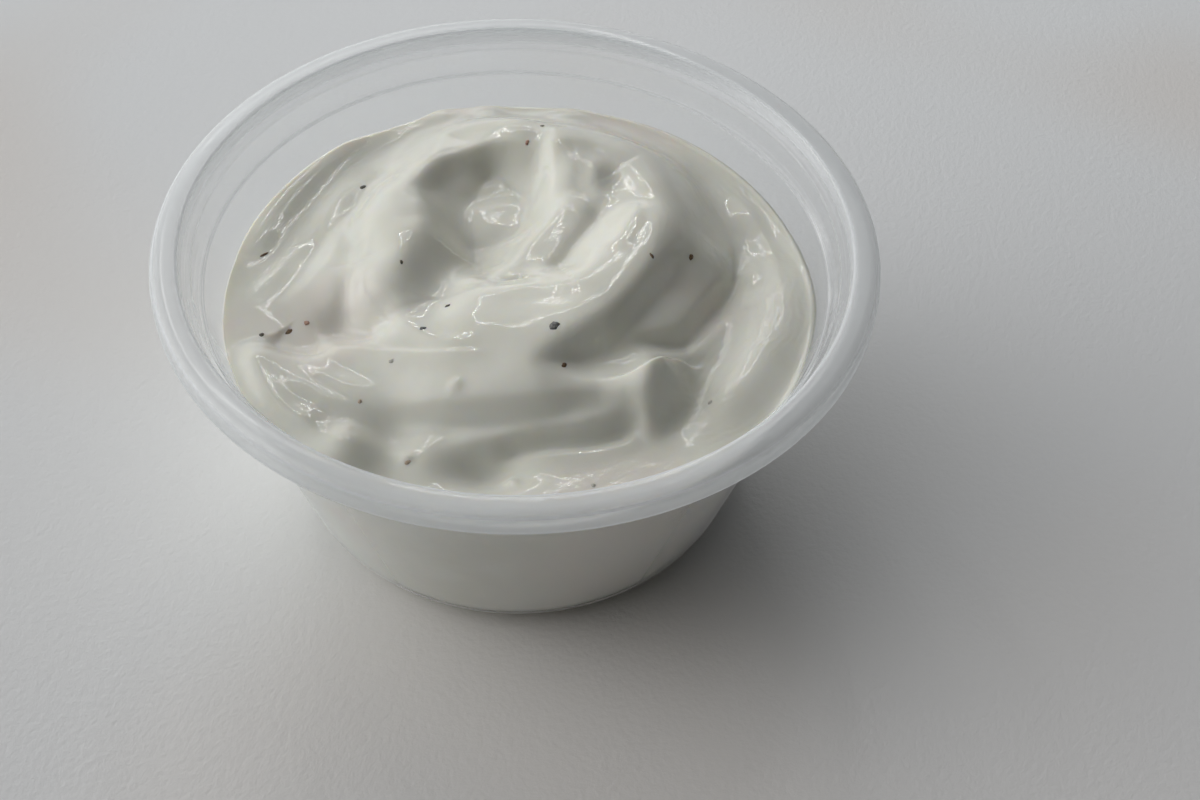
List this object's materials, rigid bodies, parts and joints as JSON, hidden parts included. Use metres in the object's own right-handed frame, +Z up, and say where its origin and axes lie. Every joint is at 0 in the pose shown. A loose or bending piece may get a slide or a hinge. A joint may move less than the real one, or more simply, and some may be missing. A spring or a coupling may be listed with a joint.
{
  "type": "portion cup of ranch dip",
  "caption": "Thin translucent portion cup with a stepped collar and a rolled rim, filled with a glossy swirled white ranch dip dotted with herb flecks.",
  "frame": {"origin": "on the surface the cup stands on, under the middle of its rim", "axes": "+Z up, +Y from the roll across the front of the dip towards the crater, +X to the right of both"},
  "size_m": [0.074, 0.074, 0.0349],
  "materials": {
    "cup_plastic": "thin translucent polypropylene, smooth with a soft milky haze, clearer where it is pressed against the dip",
    "dip": "wet glossy creamy white, slightly translucent, with smooth folds and fine drag lines",
    "herb_flecks": "chopped dried herbs and pepper, dark green to brown, wet with dip"
  },
  "bodies": {
    "root": {"cup": "cup_plastic", "ranch_dip": "dip"}
  },
  "joints": []
}
